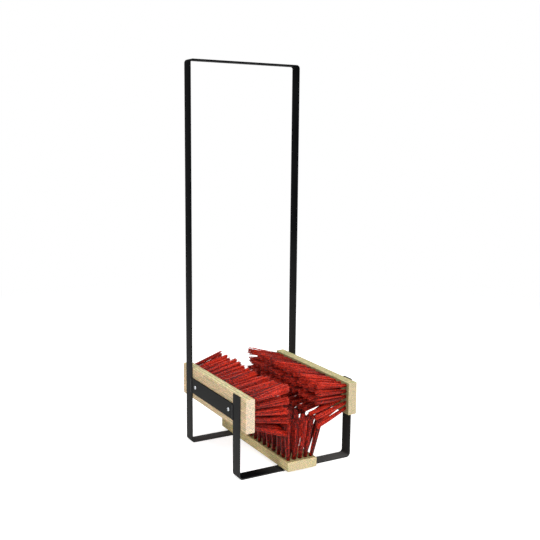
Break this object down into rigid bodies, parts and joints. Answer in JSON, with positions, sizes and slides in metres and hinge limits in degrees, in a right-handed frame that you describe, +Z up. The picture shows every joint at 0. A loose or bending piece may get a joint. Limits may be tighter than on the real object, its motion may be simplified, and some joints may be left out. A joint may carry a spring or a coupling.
{
  "type": "boot scraper",
  "caption": "Free-standing boot scraper: brushes on both sides and below form a channel that a boot is drawn through, in a flat-bar frame with a tall hoop handle.",
  "frame": {"origin": "on the floor under the middle of the scraper's frame", "axes": "+Z up, +Y from the low front frame to the tall rear hoop along the boot channel, +X to the right seen from the front"},
  "size_m": [0.2874, 0.3208, 0.88],
  "materials": {
    "frame_paint": "satin black paint on mild steel flat bar",
    "weld": "weld bead under the same black paint",
    "wood": "planed raw beech, not varnished",
    "bristles": "stiff red plastic bristles",
    "screws": "zinc plated steel"
  },
  "bodies": {
    "root": {"rear_hoop": "frame_paint", "hoop_closing_weld": "weld", "front_frame": "frame_paint", "left_rail": "frame_paint", "left_brush_block": "wood", "left_bristles": "bristles", "left_front_screw": "screws", "left_front_weld": "weld", "left_rear_screw": "screws", "left_rear_weld": "weld", "right_rail": "frame_paint", "right_brush_block": "wood", "right_bristles": "bristles", "right_front_screw": "screws", "right_front_weld": "weld", "right_rear_screw": "screws", "right_rear_weld": "weld", "lower_rail": "frame_paint", "lower_brush_block": "wood", "lower_bristles": "bristles", "lower_front_screw": "screws", "lower_front_weld": "weld", "lower_rear_screw": "screws", "lower_rear_weld": "weld"}
  },
  "joints": []
}
